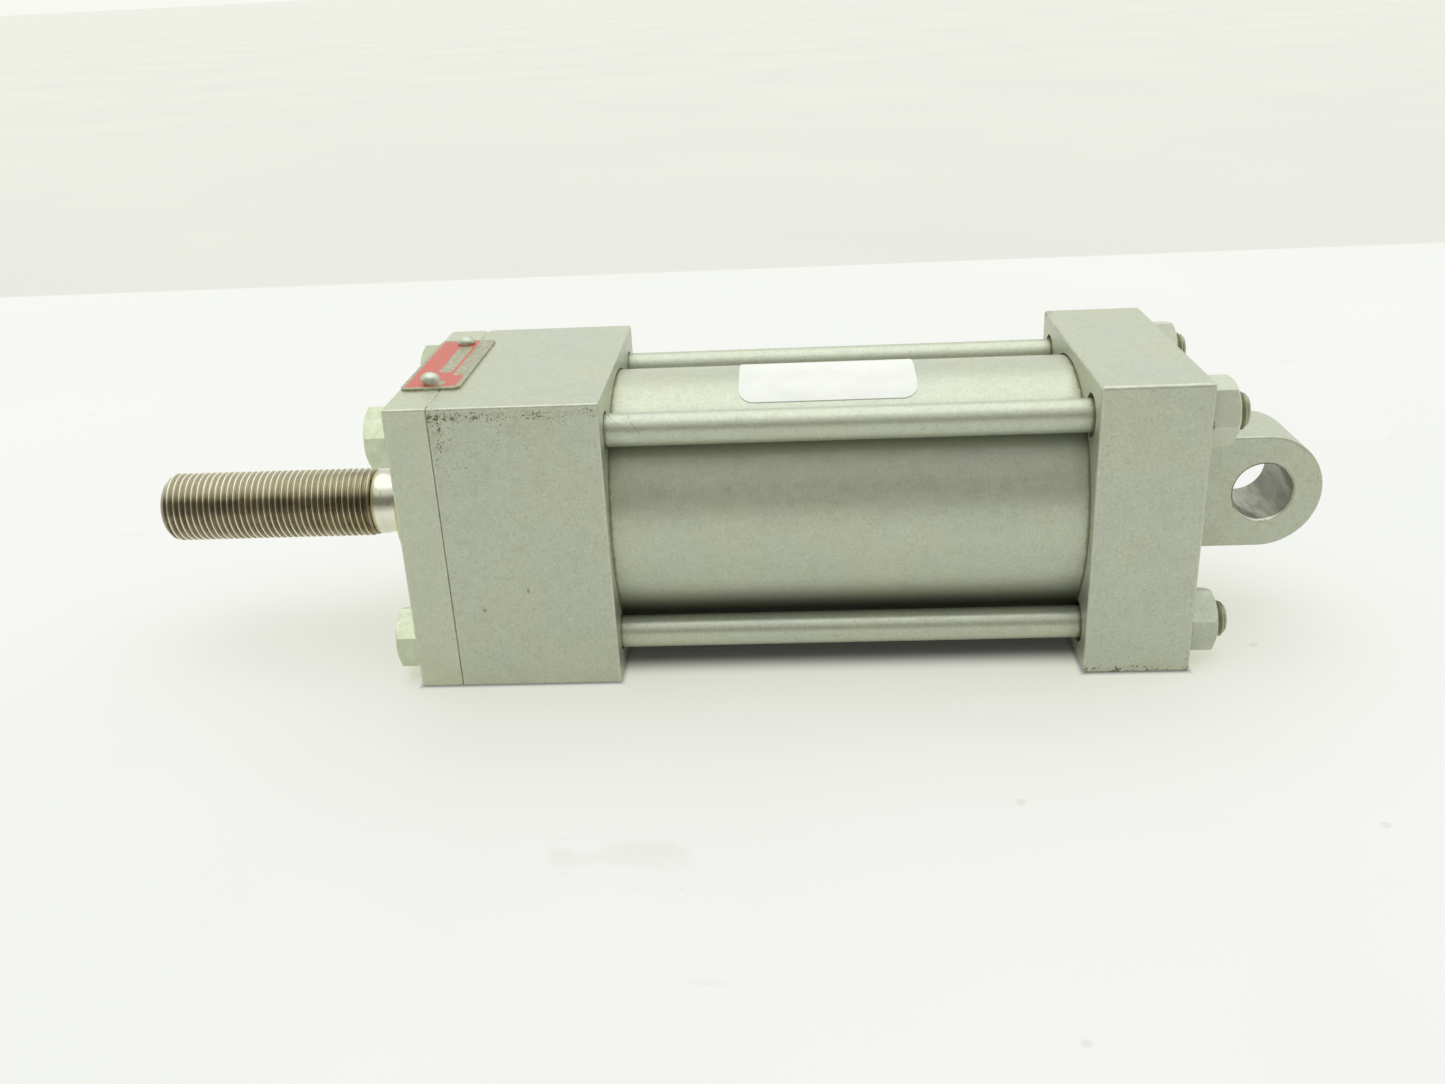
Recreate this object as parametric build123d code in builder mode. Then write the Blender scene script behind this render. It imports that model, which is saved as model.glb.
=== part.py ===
"""Square-head tie-rod hydraulic cylinder with a threaded rod end and a fixed rear pivot eye.

Frame, in millimetres: the origin is the centre of the pivot-eye bore, whose axis is Y.
+X points from the cylinder out through the eye, so the piston rod leaves along -X. +Z is up,
and the square blocks stand on the plane z = -block / 2.
"""

import os
from math import radians, sin, tan

from build123d import *

os.makedirs("parts", exist_ok=True)

INCH = 25.4

# --- Size class: 2 in bore, 5/8 in rod, 2.5 in square blocks, 5/16-24 tie rods --------------------
bore_r = 1.0 * INCH
rod_r = 0.3125 * INCH
block = 2.5 * INCH
tie_offset = 0.92 * INCH
tie_thread_r = 3.95
tie_body_r = 3.5
stroke = 54.0

# --- Lengths along the axis -----------------------------------------------------------------------
eye_reach = 0.75 * INCH
cap_length = 0.875 * INCH
tube_length = 99.2
head_length = 1.375 * INCH
plate_length = 9.1
nose_length = 0.25 * INCH

x_cap_back = -eye_reach
x_cap_front = x_cap_back - cap_length
x_head_back = x_cap_front - tube_length
x_head_front = x_head_back - head_length
x_plate_front = x_head_front - plate_length
x_nose = x_plate_front - nose_length

# --- Fits and general detail ----------------------------------------------------------------------
running_gap = 0.05
thread_gap = 0.05
seat_gap = 0.05
seal_gap = 0.02
radius_tolerance = 0.01
cut_margin = 1.0
edge_round = 0.5
cap_edge_round = 0.8
seam_edge_round = 1.5
cup_lip_share = 0.22
cup_groove_share = 0.5
corner_steps = ((-1, 1, "upper_near"), (1, 1, "upper_far"), (-1, -1, "lower_near"), (1, -1, "lower_far"))

# --- Pivot eye ------------------------------------------------------------------------------------
eye_width = 0.75 * INCH
eye_outer_r = 0.5 * INCH
eye_bore_r = 0.501 * INCH / 2
eye_bore_chamfer = 0.5
eye_root_r = 2.2

# --- Tube, spigots and their seals ----------------------------------------------------------------
tube_outer_r = 1.125 * INCH
tube_seat_depth = 1.5
tube_seat_gap = 0.3
piston_width = 1.0 * INCH
end_gap = 0.25
spigot_length = (tube_length - stroke - piston_width - 2 * end_gap) / 2
spigot_r = bore_r - seat_gap
tube_seal_from_end = 4.6
tube_seal_groove_width = 3.2
tube_seal_groove_r = 23.0
cavity_r = 12.0
cavity_end_from_outside = 7.0

# --- Ports: 3/8 in taper pipe thread, one in the far side of each block ---------------------------
port_r = 7.4
port_depth = 13.0
port_passage_r = 4.0
head_port_from_back = 10.0
x_head_port = x_head_back - head_port_from_back
x_cap_port = x_cap_front + cap_length / 2

# --- Rod gland ------------------------------------------------------------------------------------
nose_r = 1.124 * INCH / 2
nose_neck_r = 13.6
nose_neck_gap = 0.6
flange_r = 17.4
pilot_r = 14.9
flange_length = 8.0
pilot_length = 12.0
x_flange_back = x_head_front + flange_length
x_pilot_back = x_flange_back + pilot_length
nose_chamfer = 0.8
wiper_outer_r = 11.5
wiper_depth = 5.2
wiper_lip = 0.7
wiper_lip_width = 0.7
wiper_rim_width = 1.4
wiper_hollow_width = 2.0
wiper_hollow_depth = 1.2
rod_seal_outer_r = 11.8
rod_seal_length = 6.4
rod_seal_from_flange_back = 6.0
gland_groove_r = pilot_r - 2.3
gland_groove_length = 5.0
gland_groove_from_back = 3.0
backup_length = 1.3
gland_ring_squeeze = 0.7

# --- Fasteners ------------------------------------------------------------------------------------
hex_across = 0.5 * INCH
hex_face_inset = 0.25
hex_chamfer_angle = 30
screw_head_length = 13 / 64 * INCH
screw_grip = plate_length + 14.0
screw_end_chamfer = 0.45
nut_length = 15 / 64 * INCH
nut_face_inset = 0.55
stud_proud = 8.6
tie_engagement = 14.5
tie_body_inset = 1.5
stud_end_chamfer = 1.0
tie_inner_chamfer = 0.8
thread_hole_depth = 15.5
clearance_hole_r = 4.56
screw_turn = {"upper_near": 16, "upper_far": 28, "lower_near": 22, "lower_far": 5}
nut_turn = {"upper_near": 52, "upper_far": 10, "lower_near": 20, "lower_far": 38}

# --- Nameplate and label --------------------------------------------------------------------------
nameplate_size = (12.7, 39.4)
nameplate_thickness = 0.5
nameplate_corner_r = 1.6
nameplate_from_front = 6.9
nameplate_shift_y = 0.9
drive_screw_spacing = 32.2
drive_screw_head_r = 2.05
drive_screw_head_height = 1.75
drive_screw_rim = 0.3
drive_screw_r = 1.0
drive_screw_depth = 5.5
label_size = (38.1, 23.8)
label_thickness = 0.15
label_corner_r = 3.4
label_from_head = 27.3
label_tilt = 4.5

# --- Rod and piston -------------------------------------------------------------------------------
rod_reach = 2.485 * INCH
thread_inner = 13.8
runout_r = 7.55
runout_end = 11.6
relief_r = 7.05
relief_end = 8.3
flare_length = 1.5
rod_tip_chamfer = 1.5
thread_end_bevel = 0.6
runout_bevel = 0.5
piston_stud_chamfer = 0.8
x_rod_tip = x_plate_front - rod_reach
x_thread_end = x_plate_front - thread_inner
x_runout_end = x_plate_front - runout_end
x_relief_end = x_plate_front - relief_end
x_piston_back = x_cap_front - spigot_length - end_gap
x_piston_front = x_piston_back - piston_width
piston_r = bore_r - 0.06
piston_stud_r = 5.5
piston_chamfer = 0.8
piston_nut_across = 11 / 16 * INCH
piston_nut_length = 9.5
piston_stud_proud = 1.4
piston_seal_width = 4.6
piston_seal_depth = 4.4
wear_ring_width = 6.0
wear_ring_depth = 2.0
piston_seal_from_end = 2.6
wear_ring_break = 0.3
bore_ring_from_front = 4.0
bore_ring_width = 2.2
bore_ring_depth = 1.7


def across(x, y=0.0, z=0.0):
    """Sketch plane across the cylinder: local x is +Y, local y is +Z, the normal is +X."""
    return Plane(origin=(x, y, z), x_dir=(0, 1, 0), z_dir=(1, 0, 0))


def save(piece, name):
    """Label one finished piece and write it as its own file."""
    piece.part.label = name
    export_step(piece.part, f"parts/{name}.step")


def turned(*points):
    """Turn a closed outline of (x, radius) points about the cylinder axis."""
    with BuildPart() as piece:
        with BuildSketch(Plane.XZ):
            with BuildLine():
                Polyline(*points, close=True)
            make_face()
        revolve(axis=Axis.X)
    return piece


def ring(x, length, inner_r, outer_r, break_edge=0.0):
    """Square-section ring whose outer edges can be broken."""
    rim = [(x + length, outer_r), (x, outer_r)]
    if break_edge > 0:
        rim = [
            (x + length, outer_r - break_edge),
            (x + length - break_edge, outer_r),
            (x + break_edge, outer_r),
            (x, outer_r - break_edge),
        ]
    return turned((x, inner_r), (x + length, inner_r), *rim)


def o_ring(x, mean_r, section_r):
    """O-ring centred at x."""
    with BuildPart() as piece:
        with BuildSketch(Plane.XZ):
            with Locations((x, mean_r)):
                Circle(section_r)
        revolve(axis=Axis.X)
    return piece


def u_cup(x, length, inner_r, outer_r, open_side):
    """U-cup lip seal: a ring with a V groove in the end that faces the pressure."""
    middle = (inner_r + outer_r) / 2
    lip = (outer_r - inner_r) * cup_lip_share
    x_open = x + length if open_side > 0 else x
    x_heel = x if open_side > 0 else x + length
    x_root = x_open - open_side * length * cup_groove_share
    return turned(
        (x_heel, inner_r),
        (x_heel, outer_r),
        (x_open, outer_r),
        (x_open, outer_r - lip),
        (x_root, middle),
        (x_open, inner_r + lip),
        (x_open, inner_r),
    )


def circles_of(piece, radius):
    """Round edges of one radius."""
    circles = piece.edges().filter_by(GeomType.CIRCLE)
    return circles.filter_by(lambda edge: abs(edge.radius - radius) < radius_tolerance)


def corner_points():
    """The four tie-rod centres on a plane across the cylinder."""
    return [(side_y * tie_offset, side_z * tie_offset) for side_y, side_z, _ in corner_steps]


# === Blocks =======================================================================================


def square_block(x_front, length, edge_r, far_front_r, far_back_r):
    """Square block with small rounding all over and its own rounding on the two far upright edges."""
    with BuildPart() as piece:
        with BuildSketch(Plane.XY.offset(-block / 2)) as plan:
            with Locations((x_front + length / 2, 0)):
                Rectangle(length, block)
            far_corners = plan.vertices().sort_by(Axis.Y)[-2:].sort_by(Axis.X)
            fillet(far_corners[0], far_front_r)
            far_corners = plan.vertices().sort_by(Axis.X)[-2:].sort_by(Axis.Y)
            fillet(far_corners[-1], far_back_r)
        extrude(amount=block)
        near_uprights = piece.edges().filter_by(Axis.Z).sort_by(Axis.Y)[:2]
        top_rim = piece.faces().sort_by(Axis.Z)[-1].edges()
        bottom_rim = piece.faces().sort_by(Axis.Z)[0].edges()
        fillet(near_uprights + top_rim + bottom_rim, edge_r)
    return piece


# Head: square block with the tube spigot behind, the gland seat in front and a port in the far side.
head_block = square_block(x_head_front, head_length, edge_round, seam_edge_round, edge_round)
with BuildPart() as head:
    add(head_block.part)
    with BuildSketch(across(x_head_back)):
        Circle(spigot_r)
    extrude(amount=spigot_length)
    with BuildSketch(across(x_head_back + tube_seal_from_end - tube_seal_groove_width / 2)):
        Circle(spigot_r)
        Circle(tube_seal_groove_r, mode=Mode.SUBTRACT)
    extrude(amount=tube_seal_groove_width, mode=Mode.SUBTRACT)
    with BuildSketch(across(x_head_back)):
        Circle(tube_outer_r + tube_seat_gap)
        Circle(spigot_r, mode=Mode.SUBTRACT)
    extrude(amount=-tube_seat_depth, mode=Mode.SUBTRACT)
    # Stepped bore, from the front: gland flange seat, gland pilot bore, oil cavity.
    with BuildSketch(across(x_head_front)):
        Circle(flange_r + seat_gap)
    extrude(amount=flange_length, mode=Mode.SUBTRACT)
    with BuildSketch(across(x_flange_back)):
        Circle(pilot_r + seat_gap)
    extrude(amount=pilot_length, mode=Mode.SUBTRACT)
    with BuildSketch(across(x_pilot_back)):
        Circle(cavity_r)
    extrude(amount=x_head_back + spigot_length - x_pilot_back, mode=Mode.SUBTRACT)
    # Threaded holes for the retainer screws (front) and the tie rods (back).
    with BuildSketch(across(x_head_front)):
        with Locations(*corner_points()):
            Circle(tie_thread_r + thread_gap)
    extrude(amount=thread_hole_depth, mode=Mode.SUBTRACT)
    with BuildSketch(across(x_head_back)):
        with Locations(*corner_points()):
            Circle(tie_thread_r + thread_gap)
    extrude(amount=-thread_hole_depth, mode=Mode.SUBTRACT)
    with Locations(Plane(origin=(x_head_port, block / 2, 0), z_dir=(0, 1, 0))):
        CounterBoreHole(port_passage_r, port_r, port_depth, block / 2)
save(head, "head")

# Retainer plate: full-square plate that holds the gland in the head.
plate_block = square_block(x_plate_front, plate_length, edge_round, seam_edge_round, seam_edge_round)
with BuildPart() as retainer_plate:
    add(plate_block.part)
    with BuildSketch(across(x_plate_front)):
        Circle(nose_r + seat_gap)
        with Locations(*corner_points()):
            Circle(clearance_hole_r)
    extrude(amount=plate_length, mode=Mode.SUBTRACT)
    with BuildSketch(Plane.XY.offset(block / 2)):
        with Locations((x_plate_front + nameplate_from_front, nameplate_shift_y)):
            with GridLocations(0, drive_screw_spacing, 1, 2):
                Circle(drive_screw_r + thread_gap)
    extrude(amount=-drive_screw_depth - end_gap, mode=Mode.SUBTRACT)
save(retainer_plate, "retainer_plate")

# Pivot eye: a flat lug with cutter-rounded roots, cut to a round-ended outline and bored.
with BuildPart() as eye:
    with BuildSketch(Plane.XY.offset(-eye_outer_r)) as lug_plan:
        with Locations((x_cap_back, 0)):
            Rectangle(eye_reach + eye_outer_r, eye_width, align=(Align.MIN, Align.CENTER))
        with Locations((x_cap_back, 0)):
            Rectangle(eye_root_r, eye_width + 2 * eye_root_r, align=(Align.MIN, Align.CENTER))
        with Locations(
            (x_cap_back + eye_root_r, eye_width / 2 + eye_root_r),
            (x_cap_back + eye_root_r, -eye_width / 2 - eye_root_r),
        ):
            Circle(eye_root_r, mode=Mode.SUBTRACT)
    extrude(amount=2 * eye_outer_r)
    with BuildSketch(Plane.XZ):
        Circle(eye_outer_r)
        Rectangle(eye_reach, 2 * eye_outer_r, align=(Align.MAX, Align.CENTER))
    extrude(amount=eye_width, both=True, mode=Mode.INTERSECT)
    fillet(circles_of(eye, eye_outer_r), edge_round)
    with BuildSketch(Plane.XZ):
        Circle(eye_bore_r)
    extrude(amount=eye_width, both=True, mode=Mode.SUBTRACT)
    chamfer(circles_of(eye, eye_bore_r), eye_bore_chamfer)

# Rear cap: square block with the tube spigot in front; the eye is one piece with it.
with BuildPart() as rear_cap:
    with BuildSketch(across(x_cap_front)):
        Rectangle(block, block)
    extrude(amount=cap_length)
    fillet(rear_cap.edges(), cap_edge_round)
    add(eye.part)
    with BuildSketch(across(x_cap_front)):
        Circle(spigot_r)
    extrude(amount=-spigot_length)
    with BuildSketch(across(x_cap_front - tube_seal_from_end - tube_seal_groove_width / 2)):
        Circle(spigot_r)
        Circle(tube_seal_groove_r, mode=Mode.SUBTRACT)
    extrude(amount=tube_seal_groove_width, mode=Mode.SUBTRACT)
    with BuildSketch(across(x_cap_front)):
        Circle(tube_outer_r + tube_seat_gap)
        Circle(spigot_r, mode=Mode.SUBTRACT)
    extrude(amount=tube_seat_depth, mode=Mode.SUBTRACT)
    # Oil cavity, which also clears the piston nut.
    with BuildSketch(across(x_cap_back - cavity_end_from_outside)):
        Circle(cavity_r)
    extrude(amount=-(cap_length + spigot_length - cavity_end_from_outside), mode=Mode.SUBTRACT)
    with BuildSketch(across(x_cap_front)):
        with Locations(*corner_points()):
            Circle(clearance_hole_r)
    extrude(amount=cap_length, mode=Mode.SUBTRACT)
    with Locations(Plane(origin=(x_cap_port, block / 2, 0), z_dir=(0, 1, 0))):
        CounterBoreHole(port_passage_r, port_r, port_depth, block / 2)
save(rear_cap, "rear_cap")

# Barrel tube, clamped between the head and the cap with its ends in their ring seats.
with BuildPart() as barrel_tube:
    with BuildSketch(across(x_head_back - tube_seat_depth)):
        Circle(tube_outer_r)
        Circle(bore_r, mode=Mode.SUBTRACT)
    extrude(amount=tube_length + 2 * tube_seat_depth)
save(barrel_tube, "barrel_tube")

# Seals between the tube and the two spigots.
tube_seal_r = (bore_r - tube_seal_groove_r) / 2 - seal_gap
tube_seal_mean_r = (bore_r + tube_seal_groove_r) / 2
save(o_ring(x_head_back + tube_seal_from_end, tube_seal_mean_r, tube_seal_r), "head_tube_seal")
save(o_ring(x_cap_front - tube_seal_from_end, tube_seal_mean_r, tube_seal_r), "cap_tube_seal")

# === Rod gland and its seals ======================================================================

x_rod_seal = x_flange_back - rod_seal_from_flange_back
x_gland_groove = x_pilot_back - gland_groove_from_back - gland_groove_length
gland_bore_r = rod_r + running_gap
rod_gland = turned(
    (x_nose, wiper_outer_r),
    (x_nose, nose_r - nose_chamfer),
    (x_nose + nose_chamfer, nose_r),
    (x_plate_front - nose_neck_gap, nose_r),
    (x_plate_front - nose_neck_gap, nose_neck_r),
    (x_head_front, nose_neck_r),
    (x_head_front, flange_r),
    (x_flange_back, flange_r),
    (x_flange_back, pilot_r),
    (x_gland_groove, pilot_r),
    (x_gland_groove, gland_groove_r),
    (x_gland_groove + gland_groove_length, gland_groove_r),
    (x_gland_groove + gland_groove_length, pilot_r),
    (x_pilot_back, pilot_r),
    (x_pilot_back, gland_bore_r),
    (x_rod_seal + rod_seal_length, gland_bore_r),
    (x_rod_seal + rod_seal_length, rod_seal_outer_r),
    (x_rod_seal, rod_seal_outer_r),
    (x_rod_seal, gland_bore_r),
    (x_nose + wiper_depth, gland_bore_r),
    (x_nose + wiper_depth, wiper_outer_r),
)
save(rod_gland, "rod_gland")

# Wiper, pressed into the nose, with a lip that stands a little proud.
rod_wiper = turned(
    (x_nose + wiper_depth, gland_bore_r),
    (x_nose + wiper_depth, wiper_outer_r),
    (x_nose, wiper_outer_r),
    (x_nose, wiper_outer_r - wiper_rim_width),
    (x_nose + wiper_hollow_depth, wiper_outer_r - wiper_hollow_width),
    (x_nose - wiper_lip, gland_bore_r + wiper_lip_width),
    (x_nose - wiper_lip, gland_bore_r),
)
save(rod_wiper, "rod_wiper")

rod_seal = u_cup(x_rod_seal, rod_seal_length, gland_bore_r, rod_seal_outer_r, 1)
save(rod_seal, "rod_seal")

gland_ring_r = (gland_groove_length - backup_length) / 2 - gland_ring_squeeze
gland_ring_mean_r = (gland_groove_r + pilot_r + seat_gap) / 2
x_gland_ring = x_gland_groove + gland_groove_length - (gland_groove_length - backup_length) / 2
save(o_ring(x_gland_ring, gland_ring_mean_r, gland_ring_r), "gland_o_ring")
save(ring(x_gland_groove, backup_length, gland_groove_r, pilot_r), "gland_backup_ring")

# === Fasteners ====================================================================================


def hex_body(x_seat, length, y, z, turn, across_flats, direction, face_inset=hex_face_inset):
    """Hexagon standing on a seat at x_seat, its free corners cut by a shallow cone."""
    corner_r = across_flats / 3 ** 0.5
    flat_r = across_flats / 2 - face_inset
    drop = (corner_r - flat_r) * tan(radians(hex_chamfer_angle))
    x_free = x_seat + direction * length
    with BuildPart() as piece:
        with BuildSketch(across(x_seat, y, z)):
            RegularPolygon(corner_r, 6, rotation=180 - turn)
        extrude(amount=direction * length)
        with BuildSketch(Plane.XZ.offset(-y)):
            with BuildLine():
                Polyline(
                    (x_seat, z),
                    (x_seat, z + corner_r),
                    (x_free - direction * drop, z + corner_r),
                    (x_free, z + flat_r),
                    (x_free, z),
                    close=True,
                )
            make_face()
        revolve(axis=Axis((0, y, z), (1, 0, 0)), mode=Mode.INTERSECT)
    return piece


for side_y, side_z, corner in corner_steps:
    y_tie = side_y * tie_offset
    z_tie = side_z * tie_offset

    # Hexagon cap screw: head on the retainer plate, shank threaded into the head block.
    screw_head = hex_body(
        x_plate_front, screw_head_length, y_tie, z_tie, screw_turn[corner], hex_across, -1
    )
    with BuildPart() as screw:
        add(screw_head.part)
        with BuildSketch(across(x_plate_front, y_tie, z_tie)):
            Circle(tie_thread_r)
        extrude(amount=screw_grip)
        chamfer(screw.faces().sort_by(Axis.X)[-1].edges(), screw_end_chamfer)
    save(screw, f"retainer_screw_{corner}")

    # Tie rod: plain body between the blocks, rolled thread at both ends.
    with BuildPart() as tie_rod:
        with BuildSketch(across(x_head_back - tie_body_inset, y_tie, z_tie)):
            Circle(tie_thread_r)
        extrude(amount=tie_body_inset - tie_engagement)
        with BuildSketch(across(x_head_back - tie_body_inset, y_tie, z_tie)):
            Circle(tie_body_r)
        extrude(amount=tie_body_inset + tube_length + cap_length / 2)
        with BuildSketch(across(x_cap_front + cap_length / 2, y_tie, z_tie)):
            Circle(tie_thread_r)
        extrude(amount=cap_length / 2 + stud_proud)
        chamfer(tie_rod.faces().sort_by(Axis.X)[-1].edges(), stud_end_chamfer)
        chamfer(tie_rod.faces().sort_by(Axis.X)[0].edges(), tie_inner_chamfer)
    save(tie_rod, f"tie_rod_{corner}")

    # Tie-rod nut, seated on the back of the cap.
    nut_blank = hex_body(
        x_cap_back, nut_length, y_tie, z_tie, nut_turn[corner], hex_across, 1, nut_face_inset
    )
    with BuildPart() as nut:
        add(nut_blank.part)
        with BuildSketch(across(x_cap_back, y_tie, z_tie)):
            Circle(tie_thread_r + thread_gap)
        extrude(amount=nut_length, mode=Mode.SUBTRACT)
    save(nut, f"tie_rod_nut_{corner}")

# === Nameplate and label ==========================================================================

x_nameplate = x_plate_front + nameplate_from_front
with BuildPart() as nameplate:
    with BuildSketch(Plane.XY.offset(block / 2)):
        with Locations((x_nameplate, nameplate_shift_y)):
            RectangleRounded(nameplate_size[0], nameplate_size[1], nameplate_corner_r)
            with GridLocations(0, drive_screw_spacing, 1, 2):
                Circle(drive_screw_r + thread_gap, mode=Mode.SUBTRACT)
    extrude(amount=nameplate_thickness)
save(nameplate, "nameplate")

for step_y, end_name in ((-1, "near"), (1, "far")):
    y_drive = nameplate_shift_y + step_y * drive_screw_spacing / 2
    z_seat = block / 2 + nameplate_thickness
    head_top = z_seat + drive_screw_head_height
    dome = drive_screw_head_height - drive_screw_rim
    with BuildPart() as drive_screw:
        with BuildSketch(Plane.XZ.offset(-y_drive)):
            with BuildLine():
                Line((x_nameplate, z_seat), (x_nameplate + drive_screw_head_r, z_seat))
                Line(
                    (x_nameplate + drive_screw_head_r, z_seat),
                    (x_nameplate + drive_screw_head_r, z_seat + drive_screw_rim),
                )
                RadiusArc(
                    (x_nameplate + drive_screw_head_r, z_seat + drive_screw_rim),
                    (x_nameplate, head_top),
                    -(drive_screw_head_r**2 + dome**2) / (2 * dome),
                )
                Line((x_nameplate, head_top), (x_nameplate, z_seat))
            make_face()
        revolve(axis=Axis((x_nameplate, y_drive, 0), (0, 0, 1)))
        with BuildSketch(Plane.XY.offset(z_seat)):
            with Locations((x_nameplate, y_drive)):
                Circle(drive_screw_r)
        extrude(amount=-drive_screw_depth)
    save(drive_screw, f"nameplate_screw_{end_name}")

# Label: a thin sheet wrapped on the top of the tube, with rounded corners.
label_chord = 2 * tube_outer_r * sin(label_size[1] / (2 * tube_outer_r))
with BuildPart() as barrel_label:
    with BuildSketch(across(x_head_back + label_from_head)):
        Circle(tube_outer_r + label_thickness)
        Circle(tube_outer_r, mode=Mode.SUBTRACT)
    extrude(amount=label_size[0])
    with BuildSketch(Plane.XY.rotated((label_tilt, 0, 0))):
        with Locations((x_head_back + label_from_head + label_size[0] / 2, 0)):
            RectangleRounded(label_size[0], label_chord, label_corner_r)
    extrude(amount=2 * tube_outer_r, mode=Mode.INTERSECT)
save(barrel_label, "barrel_label")

# === Piston rod, piston and rings =================================================================

# Rod: full-diameter threaded end, thread relief, flare to the plain rod, and the piston stud.
x_stud_end = x_piston_back + piston_nut_length + piston_stud_proud
flare_rise = rod_r - relief_r
with BuildPart() as piston_rod:
    with BuildSketch(Plane.XZ):
        with BuildLine():
            Polyline(
                (x_relief_end, relief_r),
                (x_runout_end + runout_bevel, relief_r),
                (x_runout_end, runout_r),
                (x_thread_end, runout_r),
                (x_thread_end - thread_end_bevel, rod_r),
                (x_rod_tip + rod_tip_chamfer, rod_r),
                (x_rod_tip, rod_r - rod_tip_chamfer),
                (x_rod_tip, 0),
                (x_stud_end, 0),
                (x_stud_end, piston_stud_r - piston_stud_chamfer),
                (x_stud_end - piston_stud_chamfer, piston_stud_r),
                (x_piston_front, piston_stud_r),
                (x_piston_front, rod_r),
                (x_relief_end + flare_length, rod_r),
            )
            RadiusArc(
                (x_relief_end + flare_length, rod_r),
                (x_relief_end, relief_r),
                -(flare_length**2 + flare_rise**2) / (2 * flare_rise),
            )
        make_face()
    revolve(axis=Axis.X)
save(piston_rod, "piston_rod")

# Piston: two U-cup grooves with a wear-ring groove between them, and an O-ring in its bore.
x_front_seal = x_piston_front + piston_seal_from_end
x_back_seal = x_piston_back - piston_seal_from_end - piston_seal_width
x_wear_ring = (x_piston_front + x_piston_back - wear_ring_width) / 2
x_bore_ring = x_piston_front + bore_ring_from_front

with BuildPart() as piston:
    with BuildSketch(across(x_piston_front)):
        Circle(piston_r)
    extrude(amount=piston_width)
    chamfer(piston.edges(), piston_chamfer)
    with BuildSketch(across(x_piston_front)):
        Circle(piston_stud_r + thread_gap)
    extrude(amount=piston_width, mode=Mode.SUBTRACT)
    with BuildSketch(across(x_bore_ring)):
        Circle(piston_stud_r + bore_ring_depth)
    extrude(amount=bore_ring_width, mode=Mode.SUBTRACT)
    for x_groove, width, depth in (
        (x_front_seal, piston_seal_width, piston_seal_depth),
        (x_back_seal, piston_seal_width, piston_seal_depth),
        (x_wear_ring, wear_ring_width, wear_ring_depth),
    ):
        with BuildSketch(across(x_groove - running_gap)):
            Circle(piston_r + cut_margin)
            Circle(piston_r - depth, mode=Mode.SUBTRACT)
        extrude(amount=width + 2 * running_gap, mode=Mode.SUBTRACT)
save(piston, "piston")

seal_inner_r = piston_r - piston_seal_depth + running_gap
seal_outer_r = bore_r - seal_gap
save(u_cup(x_front_seal, piston_seal_width, seal_inner_r, seal_outer_r, -1), "piston_seal_front")
save(u_cup(x_back_seal, piston_seal_width, seal_inner_r, seal_outer_r, 1), "piston_seal_back")
save(
    ring(
        x_wear_ring,
        wear_ring_width,
        piston_r - wear_ring_depth + running_gap,
        seal_outer_r,
        wear_ring_break,
    ),
    "piston_wear_ring",
)
save(
    o_ring(
        x_bore_ring + bore_ring_width / 2,
        piston_stud_r + bore_ring_depth / 2,
        bore_ring_depth / 2 - seal_gap,
    ),
    "piston_bore_o_ring",
)

piston_nut_blank = hex_body(x_piston_back, piston_nut_length, 0, 0, 0, piston_nut_across, 1)
with BuildPart() as piston_nut:
    add(piston_nut_blank.part)
    with BuildSketch(across(x_piston_back)):
        Circle(piston_stud_r + thread_gap)
    extrude(amount=piston_nut_length, mode=Mode.SUBTRACT)
save(piston_nut, "piston_nut")
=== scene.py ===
"""Looks of a tie-rod hydraulic cylinder: paint, bare metal, rubber and plates around the CAD frame."""

import math

import bmesh
import bpy
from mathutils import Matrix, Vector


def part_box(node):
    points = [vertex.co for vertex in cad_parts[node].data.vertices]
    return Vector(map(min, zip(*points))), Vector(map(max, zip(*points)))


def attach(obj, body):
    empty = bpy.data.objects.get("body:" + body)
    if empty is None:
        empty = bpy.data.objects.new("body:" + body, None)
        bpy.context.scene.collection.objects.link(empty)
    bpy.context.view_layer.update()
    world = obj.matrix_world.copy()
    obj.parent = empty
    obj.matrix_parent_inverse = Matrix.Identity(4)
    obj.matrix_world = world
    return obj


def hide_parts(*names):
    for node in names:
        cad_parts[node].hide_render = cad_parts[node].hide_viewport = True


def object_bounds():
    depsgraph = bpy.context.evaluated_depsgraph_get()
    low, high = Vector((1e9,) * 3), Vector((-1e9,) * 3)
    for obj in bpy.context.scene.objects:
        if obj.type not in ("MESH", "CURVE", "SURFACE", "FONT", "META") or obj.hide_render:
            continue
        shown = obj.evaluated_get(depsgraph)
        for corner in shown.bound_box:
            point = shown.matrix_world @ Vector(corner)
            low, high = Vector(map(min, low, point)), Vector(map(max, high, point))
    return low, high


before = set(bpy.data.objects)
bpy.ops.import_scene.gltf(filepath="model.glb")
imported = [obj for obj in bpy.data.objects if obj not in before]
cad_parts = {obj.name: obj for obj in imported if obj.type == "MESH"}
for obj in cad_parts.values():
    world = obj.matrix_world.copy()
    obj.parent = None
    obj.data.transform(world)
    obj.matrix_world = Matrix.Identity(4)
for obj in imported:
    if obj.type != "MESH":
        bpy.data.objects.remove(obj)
cad_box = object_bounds()

MM = 0.001
INCH = 25.4 * MM
CORNERS = ("upper_near", "upper_far", "lower_near", "lower_far")

# === Sizes taken from the frame ===================================================

head_low, head_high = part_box("head")
cap_low, cap_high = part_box("rear_cap")
plate_low, plate_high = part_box("retainer_plate")
rod_low, rod_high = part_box("piston_rod")
tube_low, tube_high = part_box("barrel_tube")

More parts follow.
